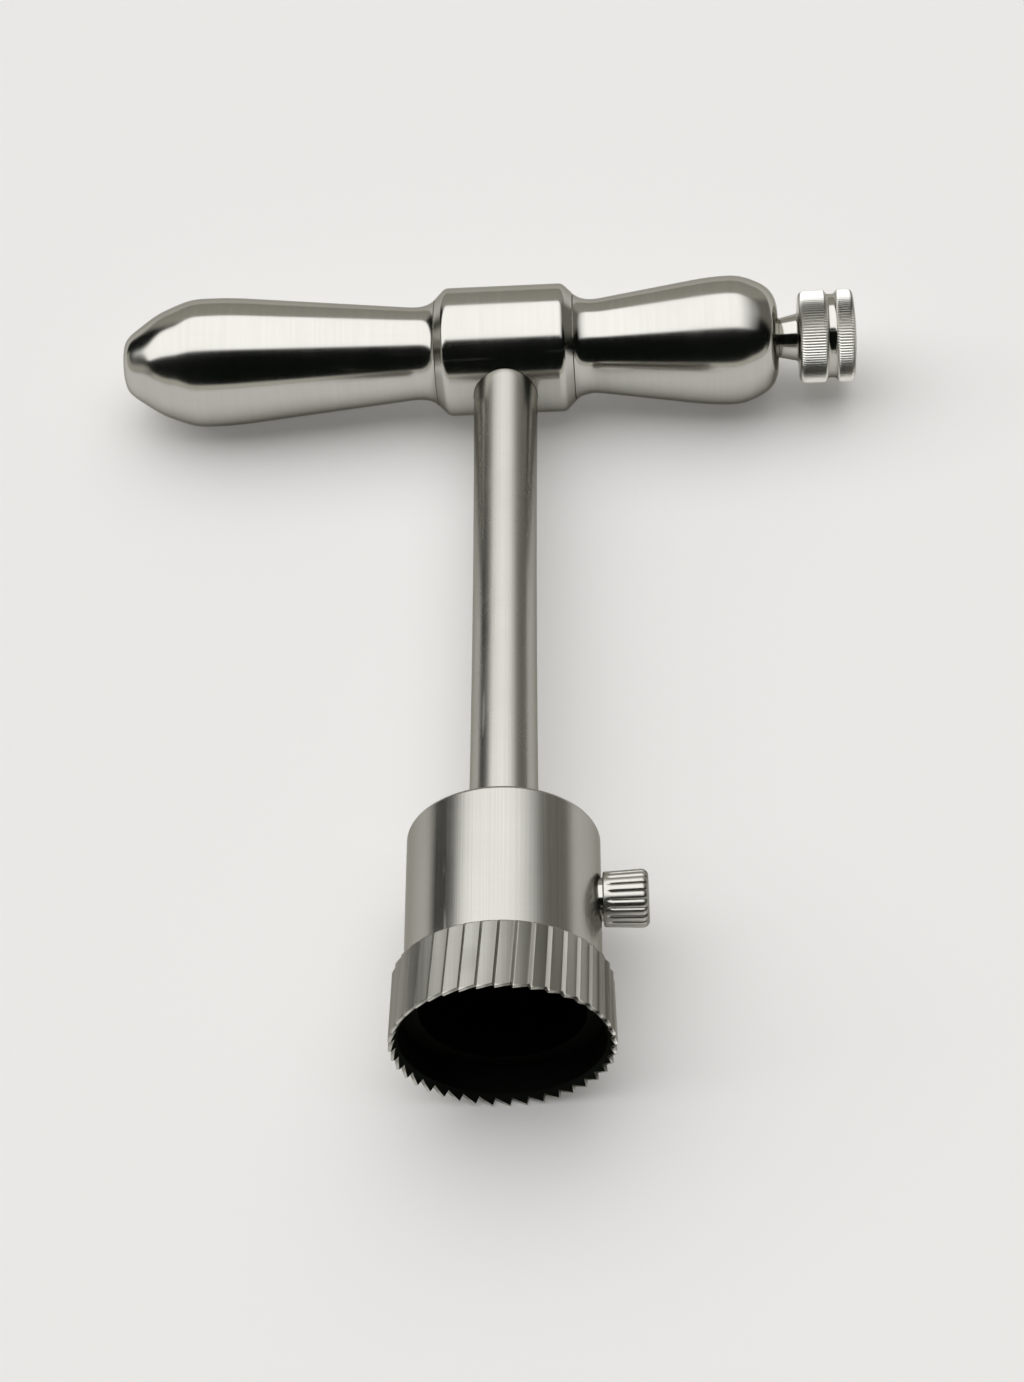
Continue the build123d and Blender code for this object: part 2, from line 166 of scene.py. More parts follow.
def makeWorld(v):
    world = bpy.data.worlds.new("studio")
    world.use_nodes = True
    tree = world.node_tree
    tree.nodes.clear()
    direction = nodeIn(tree, "ShaderNodeTexCoord").outputs["Generated"]
    x, y, z = nodeIn(tree, "ShaderNodeSeparateXYZ", {0: direction}).outputs
    above = mathIn(tree, "MAXIMUM", z, 0.001)
    across = mathIn(tree, "DIVIDE", x, above)
    along = mathIn(tree, "DIVIDE", y, above)
    farLeft = rampIn(tree, across, *v["farLeft"])
    rearSoft = mathIn(tree, "MULTIPLY_ADD", farLeft, v["edgeAtFarLeft"], v["edge"])
    low, high = v["softboxAlong"]
    rearEdge = mathIn(tree, "SUBTRACT", high, rearSoft)
    pastRear = mathIn(tree, "SUBTRACT", along, rearEdge)
    rear = rampIn(tree, mathIn(tree, "DIVIDE", pastRear, rearSoft), 1.0, -1.0)
    front = rampIn(tree, along, low - v["edge"], low + v["edge"])
    left, right = v["softboxAcross"]
    sides = mathIn(tree, "MULTIPLY", rampIn(tree, across, left - v["edge"], left + v["edge"]),
                   rampIn(tree, across, right + v["edgeAtRight"], right - v["edgeAtRight"]))
    box = mathIn(tree, "MULTIPLY", mathIn(tree, "MULTIPLY", rear, front), sides)
    box = mathIn(tree, "MULTIPLY", box, mathIn(tree, "GREATER_THAN", z, 0.0))
    fading = rampIn(tree, across, *v["falloffRange"])
    light = mathIn(tree, "MULTIPLY", mathIn(tree, "MULTIPLY_ADD", fading, -v["rightFalloff"], 1.0),
                   v["softboxLight"])
    white = nodeIn(tree, "ShaderNodeCombineColor", {0: light, 1: light, 2: light}).outputs[0]
    beside = mathIn(tree, "ABSOLUTE", x)
    sideways = mathIn(tree, "DIVIDE", beside, mathIn(tree, "MAXIMUM", y, 0.001))
    forwards = mathIn(tree, "DIVIDE", y, mathIn(tree, "MAXIMUM", beside, 0.001))
    rearPlace = mathIn(tree, "MULTIPLY", rampIn(tree, y, *v["rearRange"]),
                       rampIn(tree, sideways, *v["rearSides"]))
    lowFront = mathIn(tree, "MULTIPLY", rampIn(tree, y, *v["frontRange"]), rampIn(tree, z, *v["frontPaperTop"]))
    rearRight = mathIn(tree, "MULTIPLY", rampIn(tree, x, *v["rightRange"]), rampIn(tree, y, *v["rightBehind"]))
    wall = mathIn(tree, "MULTIPLY", rampIn(tree, x, *v["leftWallRange"]),
                  windowIn(tree, forwards, *v["leftWallSpan"], v["leftWallSoft"]))
    wall = mathIn(tree, "MULTIPLY", wall, rampIn(tree, z, *v["leftWallTop"]))
    colour = mixIn(tree, rearRight, v["dark"], v["rightGrey"])
    colour = mixIn(tree, wall, colour, v["leftWall"])
    colour = mixIn(tree, rearPlace, colour, v["rearGrey"])
    colour = mixIn(tree, lowFront, colour, v["frontPaper"])
    colour = mixIn(tree, box, colour, white)
    path = nodeIn(tree, "ShaderNodeLightPath")
    colour = mixIn(tree, path.outputs["Is Camera Ray"], colour, v["backdrop"])
    background = nodeIn(tree, "ShaderNodeBackground", {"Color": colour})
    output = nodeIn(tree, "ShaderNodeOutputWorld")
    tree.links.new(background.outputs[0], output.inputs[0])
    bpy.context.scene.world = world


makeWorld(studio)

floorLook = {
    "halfSide": 4.0,
    "colour": (0.84, 0.832, 0.815, 1),
    "farShadeColour": (0.56, 0.545, 0.50, 1),
    "nearEdge": 0.17,                 # where painted shade, standing in for light falling off, starts to darken the pale paper, and where it ends
    "farEdge": 0.60,
    "lift": 0.14,
}


def makeFloor(v):
    half = v["halfSide"]
    data = bpy.data.meshes.new("floor")
    corners = [(-half, -half, 0), (half, -half, 0), (half, half, 0), (-half, half, 0)]
    data.from_pydata(corners, [], [(0, 1, 2, 3)])
    floor = bpy.data.objects.new("floor", data)
    bpy.context.scene.collection.objects.link(floor)
    paper = bpy.data.materials.new("floorPaper")
    paper.use_nodes = True
    tree = paper.node_tree
    tree.nodes.clear()
    position = nodeIn(tree, "ShaderNodeTexCoord").outputs["Object"]
    reach = nodeIn(tree, "ShaderNodeVectorMath", {0: position}, operation="LENGTH").outputs["Value"]
    # painted shade: the paper darkens away from the object, as light falling off would make it
    colour = mixIn(tree, rampIn(tree, reach, v["nearEdge"], v["farEdge"]), v["colour"], v["farShadeColour"])
    shade = nodeIn(tree, "ShaderNodeBsdfDiffuse", {"Color": colour})
    path = nodeIn(tree, "ShaderNodeLightPath")
    seen = mathIn(tree, "ADD", path.outputs["Is Camera Ray"], path.outputs["Is Glossy Ray"])
    seen = mathIn(tree, "ADD", seen, path.outputs["Is Transmission Ray"], clamp=True)
    strength = mathIn(tree, "MULTIPLY", seen, v["lift"])
    glow = nodeIn(tree, "ShaderNodeEmission", {"Color": colour, "Strength": strength})
    both = nodeIn(tree, "ShaderNodeAddShader", {0: shade.outputs[0], 1: glow.outputs[0]})
    output = nodeIn(tree, "ShaderNodeOutputMaterial")
    tree.links.new(both.outputs[0], output.inputs[0])
    data.materials.append(paper)


makeFloor(floorLook)
bpy.context.scene.view_settings.view_transform = "Standard"
print("studio made")


# Node groups for the steel's surface, shared by all finishes
def newGroup(name, inputs, outputs):
    group = bpy.data.node_groups.new(name, "ShaderNodeTree")
    for label, kind, value in inputs:
        socket = group.interface.new_socket(label, in_out="INPUT", socket_type=kind)
        if value is not None:
            socket.default_value = value
    for label, kind in outputs:
        group.interface.new_socket(label, in_out="OUTPUT", socket_type=kind)
    return group, nodeIn(group, "NodeGroupInput").outputs, nodeIn(group, "NodeGroupOutput").inputs


def makeTurningMarks():
    # rings round the axis, as a lathe tool and the polishing wheel leave them
    group, given, out = newGroup("turningMarks", [
        ("Vector", "NodeSocketVector", None),
        ("Rings per Metre", "NodeSocketFloat", 3000.0),
    ], [("Height", "NodeSocketFloat")])
    squeeze = nodeIn(group, "ShaderNodeCombineXYZ", {
        0: mathIn(group, "MULTIPLY", given["Rings per Metre"], 0.02),
        1: mathIn(group, "MULTIPLY", given["Rings per Metre"], 0.02),
        2: given["Rings per Metre"],
    }).outputs[0]
    place = nodeIn(group, "ShaderNodeVectorMath", {0: given["Vector"], 1: squeeze},
                   operation="MULTIPLY").outputs[0]
    noise = nodeIn(group, "ShaderNodeTexNoise", {"Vector": place, "Scale": 1.0, "Detail": 2.0}).outputs[0]
    group.links.new(noise, out["Height"])
    return group


def makeDrawnLines():
    # fine lines along the axis, as a file or emery strip leaves them
    group, given, out = newGroup("drawnLines", [
        ("Vector", "NodeSocketVector", None),
        ("Lines Around", "NodeSocketFloat", 60.0),
        ("Lines per Metre", "NodeSocketFloat", 40.0),
    ], [("Height", "NodeSocketFloat")])
    x, y, z = nodeIn(group, "ShaderNodeSeparateXYZ", {0: given["Vector"]}).outputs
    flat = nodeIn(group, "ShaderNodeCombineXYZ", {0: x, 1: y}).outputs[0]
    spoke = nodeIn(group, "ShaderNodeVectorMath", {0: flat}, operation="NORMALIZE").outputs[0]
    px, py, pz = nodeIn(group, "ShaderNodeSeparateXYZ", {0: spoke}).outputs
    place = nodeIn(group, "ShaderNodeCombineXYZ", {
        0: mathIn(group, "MULTIPLY", px, given["Lines Around"]),
        1: mathIn(group, "MULTIPLY", py, given["Lines Around"]),
        2: mathIn(group, "MULTIPLY", z, given["Lines per Metre"]),
    }).outputs[0]
    noise = nodeIn(group, "ShaderNodeTexNoise", {"Vector": place, "Scale": 1.0, "Detail": 3.0}).outputs[0]
    group.links.new(noise, out["Height"])
    return group


def makeHandling():
    # soft smudges, and a few hairline scratches in two directions
    group, given, out = newGroup("handlingMarks", [
        ("Vector", "NodeSocketVector", None),
        ("Smudges per Metre", "NodeSocketFloat", 90.0),
        ("Scratch Share", "NodeSocketFloat", 0.03),
    ], [("Smudge", "NodeSocketFloat"), ("Scratch", "NodeSocketFloat")])
    smudge = nodeIn(group, "ShaderNodeTexNoise", {
        "Vector": given["Vector"], "Scale": given["Smudges per Metre"], "Detail": 3.0, "Distortion": 0.6,
    }).outputs[0]
    group.links.new(rampIn(group, smudge, 0.35, 0.75), out["Smudge"])
    marks = []
    for turn, stretch in ((0.5, (90.0, 2600.0, 90.0)), (-0.9, (2100.0, 70.0, 70.0))):
        place = nodeIn(group, "ShaderNodeMapping", {
            "Vector": given["Vector"], "Rotation": (turn, 0.4, turn), "Scale": stretch,
        }).outputs[0]
        noise = nodeIn(group, "ShaderNodeTexNoise", {"Vector": place, "Scale": 1.0, "Detail": 0.0}).outputs[0]
        edge = mathIn(group, "SUBTRACT", 0.80, given["Scratch Share"])
        marks.append(mathIn(group, "MULTIPLY", mathIn(group, "SUBTRACT", noise, edge), 12.0, clamp=True))
    group.links.new(mathIn(group, "MAXIMUM", *marks), out["Scratch"])
    return group


def makeRadiusMask():
    # 1 where the surface is further from the axis than a radius, 0 nearer to it
    group, given, out = newGroup("radiusMask", [
        ("Vector", "NodeSocketVector", None),
        ("Radius", "NodeSocketFloat", 0.01),
        ("Taper", "NodeSocketFloat", 0.0),
        ("Softness", "NodeSocketFloat", 0.0001),
    ], [("Mask", "NodeSocketFloat")])
    x, y, z = nodeIn(group, "ShaderNodeSeparateXYZ", {0: given["Vector"]}).outputs
    flat = nodeIn(group, "ShaderNodeCombineXYZ", {0: x, 1: y}).outputs[0]
    reach = nodeIn(group, "ShaderNodeVectorMath", {0: flat}, operation="LENGTH").outputs["Value"]
    reach = mathIn(group, "MULTIPLY_ADD", z, given["Taper"], reach)
    over = mathIn(group, "DIVIDE", mathIn(group, "SUBTRACT", reach, given["Radius"]), given["Softness"])
    group.links.new(rampIn(group, over, -1.0, 1.0), out["Mask"])
    return group


turningMarks = makeTurningMarks()
drawnLines = makeDrawnLines()
handlingMarks = makeHandling()
radiusMask = makeRadiusMask()
print("surface groups made")


def applyGroup(tree, group, inputs):
    node = nodeIn(tree, "ShaderNodeGroup", node_tree=group)
    for label, value in inputs.items():
        if isinstance(value, bpy.types.NodeSocket):
            tree.links.new(value, node.inputs[label])
        else:
            node.inputs[label].default_value = value
    return node.outputs


def makeFinish(name, axis, v):
    steel = bpy.data.materials.new(name)
    steel.use_nodes = True
    tree = steel.node_tree
    shader = tree.nodes["Principled BSDF"]
    shader.inputs["Metallic"].default_value = 1.0
    shader.inputs["Specular Tint"].default_value = v["rimTint"]
    position = nodeIn(tree, "ShaderNodeTexCoord").outputs["Object"]
    place = nodeIn(tree, "ShaderNodeMapping", {
        "Vector": position, "Location": axis.to_translation(), "Rotation": axis.to_euler(),
    }, vector_type="TEXTURE").outputs[0]
    rings = applyGroup(tree, turningMarks, {"Vector": place, "Rings per Metre": v["ringsPerMetre"]})[0]
    lines = applyGroup(tree, drawnLines, {
        "Vector": place, "Lines Around": v["linesAround"], "Lines per Metre": v["linesPerMetre"],
    })[0]
    smudge, scratch = applyGroup(tree, handlingMarks, {
        "Vector": place, "Smudges per Metre": v["smudgesPerMetre"], "Scratch Share": v["scratchShare"],
    })
    grain = mathIn(tree, "ADD", mathIn(tree, "MULTIPLY", rings, v["ringShare"]),
                   mathIn(tree, "MULTIPLY", lines, 1.0 - v["ringShare"]))
    centred = mathIn(tree, "SUBTRACT", grain, 0.5)
    colour = mixIn(tree, mathIn(tree, "MULTIPLY_ADD", centred, v["grainContrast"], 0.5, clamp=True),
                   v["darkColour"], v["lightColour"])
    colour = mixIn(tree, mathIn(tree, "MULTIPLY", smudge, v["smudgeTint"]), colour, v["smudgeColour"])
    rough = mathIn(tree, "MULTIPLY_ADD", smudge, v["smudgeRoughness"], v["roughness"])
    rough = mathIn(tree, "MULTIPLY_ADD", centred, v["grainRoughness"], rough)
    rough = mathIn(tree, "MULTIPLY_ADD", scratch, v["scratchRoughness"], rough, clamp=True)
    if "crestRadius" in v:
        crest = applyGroup(tree, radiusMask, {
            "Vector": place, "Radius": v["crestRadius"] * mm, "Taper": v["crestTaper"],
            "Softness": v["crestSoftness"] * mm,
        })[0]
        ridged = applyGroup(tree, radiusMask, {
            "Vector": place, "Radius": v["grooveFloor"] * mm, "Softness": v["crestSoftness"] * mm,
        })[0]
        # painted shade: the grooves between the crests are darkened towards the groove shade colour, as shade
        # falls in them
        groove = mathIn(tree, "MULTIPLY", mathIn(tree, "SUBTRACT", 1.0, crest), ridged)
        colour = mixIn(tree, mathIn(tree, "MULTIPLY", groove, v["grooveShadeTint"]), colour, v["grooveShadeColour"])
        # painted highlight: the ridged band is lightened towards the ridge highlight colour; its roughness is real
        colour = mixIn(tree, mathIn(tree, "MULTIPLY", ridged, v["ridgeHighlightTint"]), colour, v["ridgeHighlightColour"])
        rough = mathIn(tree, "MULTIPLY_ADD", ridged, v["ridgeRoughness"], rough)
    if "wornHeight" in v:
        height = nodeIn(tree, "ShaderNodeSeparateXYZ", {0: place}).outputs[2]
        worn = rampIn(tree, height, v["wornHeight"] * 1.4 * mm, v["wornHeight"] * 0.6 * mm)
        colour = mixIn(tree, worn, colour, v["wornColour"])
    if "innerFaces" in v:
        # painted shade: dark within each (radius, taper), on the bore and the bevel behind the teeth, standing in
        # for the shade there
        height = nodeIn(tree, "ShaderNodeSeparateXYZ", {0: place}).outputs[2]
        outside = 1.0
        for radius, taper in v["innerFaces"]:
            beyond = applyGroup(tree, radiusMask, {
                "Vector": place, "Radius": radius * mm, "Taper": taper, "Softness": v["innerSoftness"] * mm,
            })[0]
            outside = mathIn(tree, "MULTIPLY", beyond, outside)
        inside = mathIn(tree, "MULTIPLY", mathIn(tree, "SUBTRACT", 1.0, outside),
                        mathIn(tree, "LESS_THAN", height, v["innerHeight"] * mm))
        colour = mixIn(tree, inside, colour, v["innerShadeColour"])
        rough = mathIn(tree, "MULTIPLY_ADD", inside, v["innerRoughness"], rough, clamp=True)
    bump = nodeIn(tree, "ShaderNodeBump", {
        "Strength": 1.0, "Distance": v["grainDepth"] * mm,
        "Height": mathIn(tree, "MULTIPLY_ADD", scratch, -0.5, grain),
    }).outputs[0]
    tree.links.new(colour, shader.inputs["Base Color"])
    tree.links.new(rough, shader.inputs["Roughness"])
    tree.links.new(bump, shader.inputs["Normal"])
    return steel


# What repeats round an axis: one sector is copied round, and the copies are joined
def makeRepeatTree():
    tree = bpy.data.node_groups.new("repeatRound", "GeometryNodeTree")
    sockets = {}
    for label, kind in (("Geometry", "NodeSocketGeometry"), ("Count", "NodeSocketInt"),
                        ("Join Distance", "NodeSocketFloat"), ("Finish", "NodeSocketMaterial")):
        sockets[label] = tree.interface.new_socket(label, in_out="INPUT", socket_type=kind)
    tree.interface.new_socket("Geometry", in_out="OUTPUT", socket_type="NodeSocketGeometry")
    given = nodeIn(tree, "NodeGroupInput").outputs
    turn = mathIn(tree, "DIVIDE", 2 * math.pi, given["Count"])
    angle = mathIn(tree, "MULTIPLY", nodeIn(tree, "GeometryNodeInputIndex").outputs[0], turn)
    euler = nodeIn(tree, "ShaderNodeCombineXYZ", {2: angle}).outputs[0]
    rotation = nodeIn(tree, "FunctionNodeEulerToRotation", {0: euler}).outputs[0]
    points = nodeIn(tree, "GeometryNodePoints", {"Count": given["Count"]}).outputs[0]
    copies = nodeIn(tree, "GeometryNodeInstanceOnPoints", {
        "Points": points, "Instance": given["Geometry"], "Rotation": rotation,
    }).outputs[0]
    real = nodeIn(tree, "GeometryNodeRealizeInstances", {"Geometry": copies}).outputs[0]
    joined = nodeIn(tree, "GeometryNodeMergeByDistance", {
        "Geometry": real, "Distance": given["Join Distance"],
    }).outputs[0]
    finished = nodeIn(tree, "GeometryNodeSetMaterial", {
        "Geometry": joined, "Material": given["Finish"],
    }).outputs[0]
    output = nodeIn(tree, "NodeGroupOutput")
    tree.links.new(finished, output.inputs["Geometry"])
    return tree, {label: socket.identifier for label, socket in sockets.items()}


repeatTree, repeatInputs = makeRepeatTree()
sharpFrom = math.radians(33)


def makeRound(name, columns, closed, count, axis, finish, node, body):
    # columns: outlines across one sector, each a list of (radius, angle, place) in mm and degrees
    rows = len(columns[0])
    corners = []
    for column in columns:
        for radius, angle, place in column:
            turn = math.radians(angle)
            corners.append((radius * mm * math.cos(turn), radius * mm * math.sin(turn), place * mm))
    faces = []
    for i in range(len(columns) - 1):
        for j in range(rows if closed else rows - 1):
            k = (j + 1) % rows
            faces.append((i * rows + j, i * rows + k, (i + 1) * rows + k, (i + 1) * rows + j))
    data = bpy.data.meshes.new(name)
    data.from_pydata(corners, [], faces)
    piece = bpy.data.objects.new(name, data)
    bpy.context.scene.collection.objects.link(piece)
    modifier = piece.modifiers.new("repeatRound", "NODES")
    modifier.node_group = repeatTree
    modifier[repeatInputs["Count"]] = count
    modifier[repeatInputs["Join Distance"]] = 0.0006 * mm
    modifier[repeatInputs["Finish"]] = finish
    graph = bpy.context.evaluated_depsgraph_get()
    whole = bpy.data.meshes.new_from_object(piece.evaluated_get(graph))
    piece.modifiers.clear()
    piece.data = whole
    shell = bmesh.new()
    shell.from_mesh(whole)
    bmesh.ops.dissolve_degenerate(shell, dist=0.0001 * mm, edges=shell.edges)
    bmesh.ops.recalc_face_normals(shell, faces=shell.faces)
    shell.to_mesh(whole)
    shell.free()
    whole.transform(axis)
    whole.shade_smooth()
    whole.set_sharp_from_angle(angle=sharpFrom)
    whole.update()
    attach(piece, body)
    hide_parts(node)
    print(name, "made:", len(whole.polygons), "faces")


# Outlines of turned pieces, as (place, radius) in mm
def fittedRounds(points, rounds):
    # smaller where two rounds would meet on a leg, as on the solids
    legs = [Vector(end) - Vector(start) for start, end in zip(points, points[1:])]
    turns = [leg.angle(after) for leg, after in zip(legs, legs[1:])]
    reaches = [0, *(radius * math.tan(turn / 2) for radius, turn in zip(rounds, turns)), 0]
    shares = [min(1, 0.98 * leg.length / max(before + after, 1e-9))
              for leg, before, after in zip(legs, reaches, reaches[1:])]
    return [radius * min(pair) for radius, pair in zip(rounds, zip(shares, shares[1:]))]


def roundedLine(points, rounds, step=4.0):
    line = [Vector(points[0])]
    for before, corner, after, radius in zip(points, points[1:], points[2:], rounds):
        corner = Vector(corner)
        inLeg = (Vector(before) - corner).normalized()
        outLeg = (Vector(after) - corner).normalized()
        half = inLeg.angle(outLeg) / 2
        turn = math.pi - 2 * half
        if radius <= 0 or turn < 0.001:
            line.append(corner)
            continue
        start = corner + inLeg * radius / math.tan(half)
        middle = corner + (inLeg + outLeg).normalized() * radius / math.sin(half)
        side = -1 if (-inLeg.x * outLeg.y + inLeg.y * outLeg.x) < 0 else 1
        steps = max(2, math.ceil(math.degrees(turn) / step))
        for i in range(steps + 1):
            a = side * turn * i / steps
            arm = start - middle
            line.append(middle + Vector((arm.x * math.cos(a) - arm.y * math.sin(a),
                                         arm.x * math.sin(a) + arm.y * math.cos(a))))
    line.append(Vector(points[-1]))
    return line


def evenLine(line, step):
    # points at even steps along a line
    lengths = [0.0]
    for a, b in zip(line, line[1:]):
        lengths.append(lengths[-1] + (b - a).length)
    count = max(2, round(lengths[-1] / step))
    result, k = [], 0
    for i in range(count + 1):
        want = lengths[-1] * i / count
        while k < len(line) - 2 and lengths[k + 1] < want:
            k += 1
        share = (want - lengths[k]) / max(lengths[k + 1] - lengths[k], 1e-12)
        result.append(line[k].lerp(line[k + 1], min(max(share, 0.0), 1.0)))
    return result


def softened(line, width, step):
    # hand polishing leaves no kinks: a weighted average along the line, its ends kept
    fine = evenLine(line, width / 5)
    reach = 15
    weights = [math.exp(-0.5 * (i / 5) ** 2) for i in range(-reach, reach + 1)]
    soft = []
    for i, point in enumerate(fine):
        room = min(reach, i, len(fine) - 1 - i)
        total, mixed = 0.0, Vector((0, 0))
        for j in range(-room, room + 1):
            weight = weights[j + reach]
            total += weight
            mixed += weight * fine[i + j]
        soft.append(mixed / total)
    return evenLine(soft, step)


def turnedColumns(outline, count):
    # one thin sector of a plain turned piece
    return [[(max(r, 0.0), angle, place) for place, r in outline] for angle in (0.0, 360.0 / count)]


# Left grip
leftGripLook = {
    "around": 144,
    "outline": [(-8.9, 7.0), (-10.08, 5.82), (-35.8, 8.35), (-40.8, 8.35), (-45.2, 6.72), (-49.9, 3.45),
                (-49.9, 0.0)],
    "rounds": [3.0, 40.0, 5.0, 10.0, 1.2],
    "polishWidth": 0.8,
    "seamChamfer": 0.12,
    "stud": [(-5.1, 0.0), (-5.1, 3.85), (-5.25, 4.0), (-8.9, 4.0)],
}
handleSteel = {
    "lightColour": (0.545, 0.537, 0.503, 1),
    "darkColour": (0.505, 0.497, 0.465, 1),
    "smudgeColour": (0.44, 0.43, 0.385, 1),
    "rimTint": (0.5, 0.49, 0.45, 1),
    "smudgeTint": 0.18,
    "roughness": 0.12,
    "smudgeRoughness": 0.05,
    "grainRoughness": 0.06,
    "scratchRoughness": 0.10,
    "grainContrast": 1.6,
    "grainDepth": 0.0009,
    "ringShare": 0.85,
    "ringsPerMetre": 2600.0,
    "linesAround": 40.0,
    "linesPerMetre": 60.0,
    "smudgesPerMetre": 75.0,
    "scratchShare": 0.02,
}
handleFinish = makeFinish("polishedHandleSteel", handleMatrix, handleSteel)


def gripOutline(v, side):
    rounds = fittedRounds(v["outline"], v["rounds"])
    line = roundedLine(v["outline"], rounds)
    chamfer = v["seamChamfer"]
    start = line[0] + Vector((side * chamfer, -chamfer))
    body = softened([start] + line[1:], v["polishWidth"], 0.3)
    return [line[0] + Vector((0, -2 * chamfer))] + body


def makeLeftGrip(v):
    outline = v["stud"] + [tuple(point) for point in gripOutline(v, -1)]
    makeRound("leftGripTurned", turnedColumns(outline, v["around"]), False, v["around"], handleMatrix,
              handleFinish, "left_grip", "handle")


makeLeftGrip(leftGripLook)

# Right grip, bored for the lock spindle
rightGripLook = {
    "around": 144,
    "outline": [(8.9, 7.0), (10.08, 5.82), (27.0, 8.35), (30.7, 8.35), (35.35, 6.25), (35.35, 2.85)],
    "rounds": [3.0, 32.0, 6.0, 3.6],
    "polishWidth": 0.8,
    "seamChamfer": 0.12,
    "bore": [(35.1, 2.6), (15.1, 2.6), (15.1, 2.45), (5.1, 2.45)],
    "stud": [(5.1, 3.85), (5.25, 4.0), (8.9, 4.0)],
}


def makeRightGrip(v):
    outline = v["stud"] + [tuple(point) for point in gripOutline(v, 1)] + v["bore"]
    makeRound("rightGripTurned", turnedColumns(outline, v["around"]), True, v["around"], handleMatrix,
              handleFinish, "right_grip", "handle")


makeRightGrip(rightGripLook)


def ridgedColumns(outline, v, count):
    # rounded ridges: each sector runs from the bottom of one groove to the next
    pitch = 360.0 / count
    columns = []
    for i in range(v["columns"] + 1):
        share = i / v["columns"]
        fall = v["grooveDepth"] * abs(2 * share - 1) ** v["ridgeCurve"]
        column = []
        for place, radius in outline:
            full = (radius - v["grooveFloor"]) / (v["grooveRadius"] - v["grooveFloor"])
            full *= (place - v["grooveStart"]) / v["grooveRunIn"]
            if radius <= v["grooveFloor"] or place <= v["grooveStart"]:
                full = 0.0
            column.append((max(radius - fall * min(full, 1.0), 0.0), share * pitch, place))
        columns.append(column)
    return columns


# Lock knob: a flared neck, two ridged flanges and a smooth waist
lockKnobLook = {
    "ridges": 100,
    "columns": 6,
    "outline": [(33.77, 2.5), (35.35, 2.5), (38.0, 3.1), (38.0, 5.95), (41.3, 5.95), (41.75, 5.4),
                (42.65, 5.4), (43.1, 5.95), (45.0, 5.95)],
    "rounds": [0.6, 0.5, 0.9, 0.35, 0.5, 0.5, 0.35],
    "domeRise": 0.45,
    "rimRound": 0.9,
    "bore": [(41.65, 0.0), (41.65, 1.65), (33.77, 1.65)],
    "grooveRadius": 5.95,
    "grooveDepth": 0.17,
    "grooveFloor": 5.6,
    "grooveStart": 37.0,
    "grooveRunIn": 0.1,
    "ridgeCurve": 1.3,
}
lockKnobSteel = dict(
    handleSteel,
    roughness=0.10,
    ringShare=0.6,
    smudgeTint=0.25,
    crestRadius=5.86,
    crestTaper=0.0,
    crestSoftness=0.07,
    grooveFloor=5.62,
    # painted shade in the grooves between the ridges
    grooveShadeTint=0.25,
    grooveShadeColour=(0.20, 0.185, 0.16, 1),
    ridgeRoughness=0.2,
    # painted highlight: the ridged flanges are lightened almost to white
    ridgeHighlightTint=0.9,
    ridgeHighlightColour=(0.92, 0.91, 0.86, 1),
)
lockKnobFinish = makeFinish("ridgedLockSteel", handleMatrix, lockKnobSteel)


def domed(outline, rise, rimRound, steps=10):
    # closes an outline with a low dome and a rounded rim
    place, radius = outline[-1]
    ball = (radius * radius + rise * rise) / (2 * rise)
    dome = []
    for i in range(steps + 1):
        r = radius * (1 - i / steps)
        dome.append((place + rise - ball + math.sqrt(ball * ball - r * r), r))
    line = roundedLine([outline[-2], outline[-1], dome[1]], [rimRound * 0.8], 8.0)
    return [tuple(p) for p in line[1:-1]] + [p for p in dome[1:] if p[1] < line[-2].y]


def makeLockKnob(v):
    line = roundedLine(v["outline"], v["rounds"], 10.0)
    outline = v["bore"] + [tuple(p) for p in line[:-1]] + domed(v["outline"], v["domeRise"], v["rimRound"])
    makeRound("lockKnobRidged", ridgedColumns(outline, v, v["ridges"]), False, v["ridges"], handleMatrix,
              lockKnobFinish, "lock_knob", "lock_knob")


makeLockKnob(lockKnobLook)

# Knob of the pin screw: coarse ridges on a slight cone
pinKnobLook = {
    "ridges": 20,
    "columns": 12,
    "outline": [(11.37, 1.65), (11.37, 3.15), (16.55, 3.4), (16.55, 2.3), (16.45, 2.15), (16.45, 0.0)],
    "rounds": [0.25, 0.8, 0.1, 0.1],
    "bore": [(14.8, 0.0), (14.8, 1.65)],
    "grooveRadius": 3.2,
    "grooveDepth": 0.19,
    "grooveFloor": 2.45,
    "grooveStart": 11.9,
    "grooveRunIn": 0.35,
    "ridgeCurve": 3.2,
}
pinKnobSteel = dict(
    handleSteel,
    roughness=0.12,
    ringShare=0.4,
    smudgeTint=0.25,
    crestRadius=2.44,
    crestTaper=-0.048,
    crestSoftness=0.06,
    grooveFloor=2.6,
    # painted shade in the grooves between the ridges
    grooveShadeTint=0.55,
    grooveShadeColour=(0.14, 0.128, 0.11, 1),
    ridgeRoughness=0.16,
    ridgeHighlightTint=0.0,
    ridgeHighlightColour=(0.5, 0.5, 0.47, 1),
)
pinKnobFinish = makeFinish("ridgedPinSteel", screwMatrix, pinKnobSteel)


def makePinKnob(v):
    line = roundedLine(v["outline"], v["rounds"], 10.0)
    outline = v["bore"] + [tuple(p) for p in line]
    # the long side runs in short steps, so that the grooves can start behind the collar
    fine = []
    for a, b in zip(outline, outline[1:]):
        steps = 16 if b[0] - a[0] > 2.0 else 1
        fine += [(a[0] + (b[0] - a[0]) * i / steps, a[1] + (b[1] - a[1]) * i / steps) for i in range(steps)]
    fine.append(outline[-1])
    makeRound("pinKnobRidged", ridgedColumns(fine, v, v["ridges"]), False, v["ridges"], screwMatrix,
              pinKnobFinish, "pin_screw_knob", "pin_screw_knob")


makePinKnob(pinKnobLook)

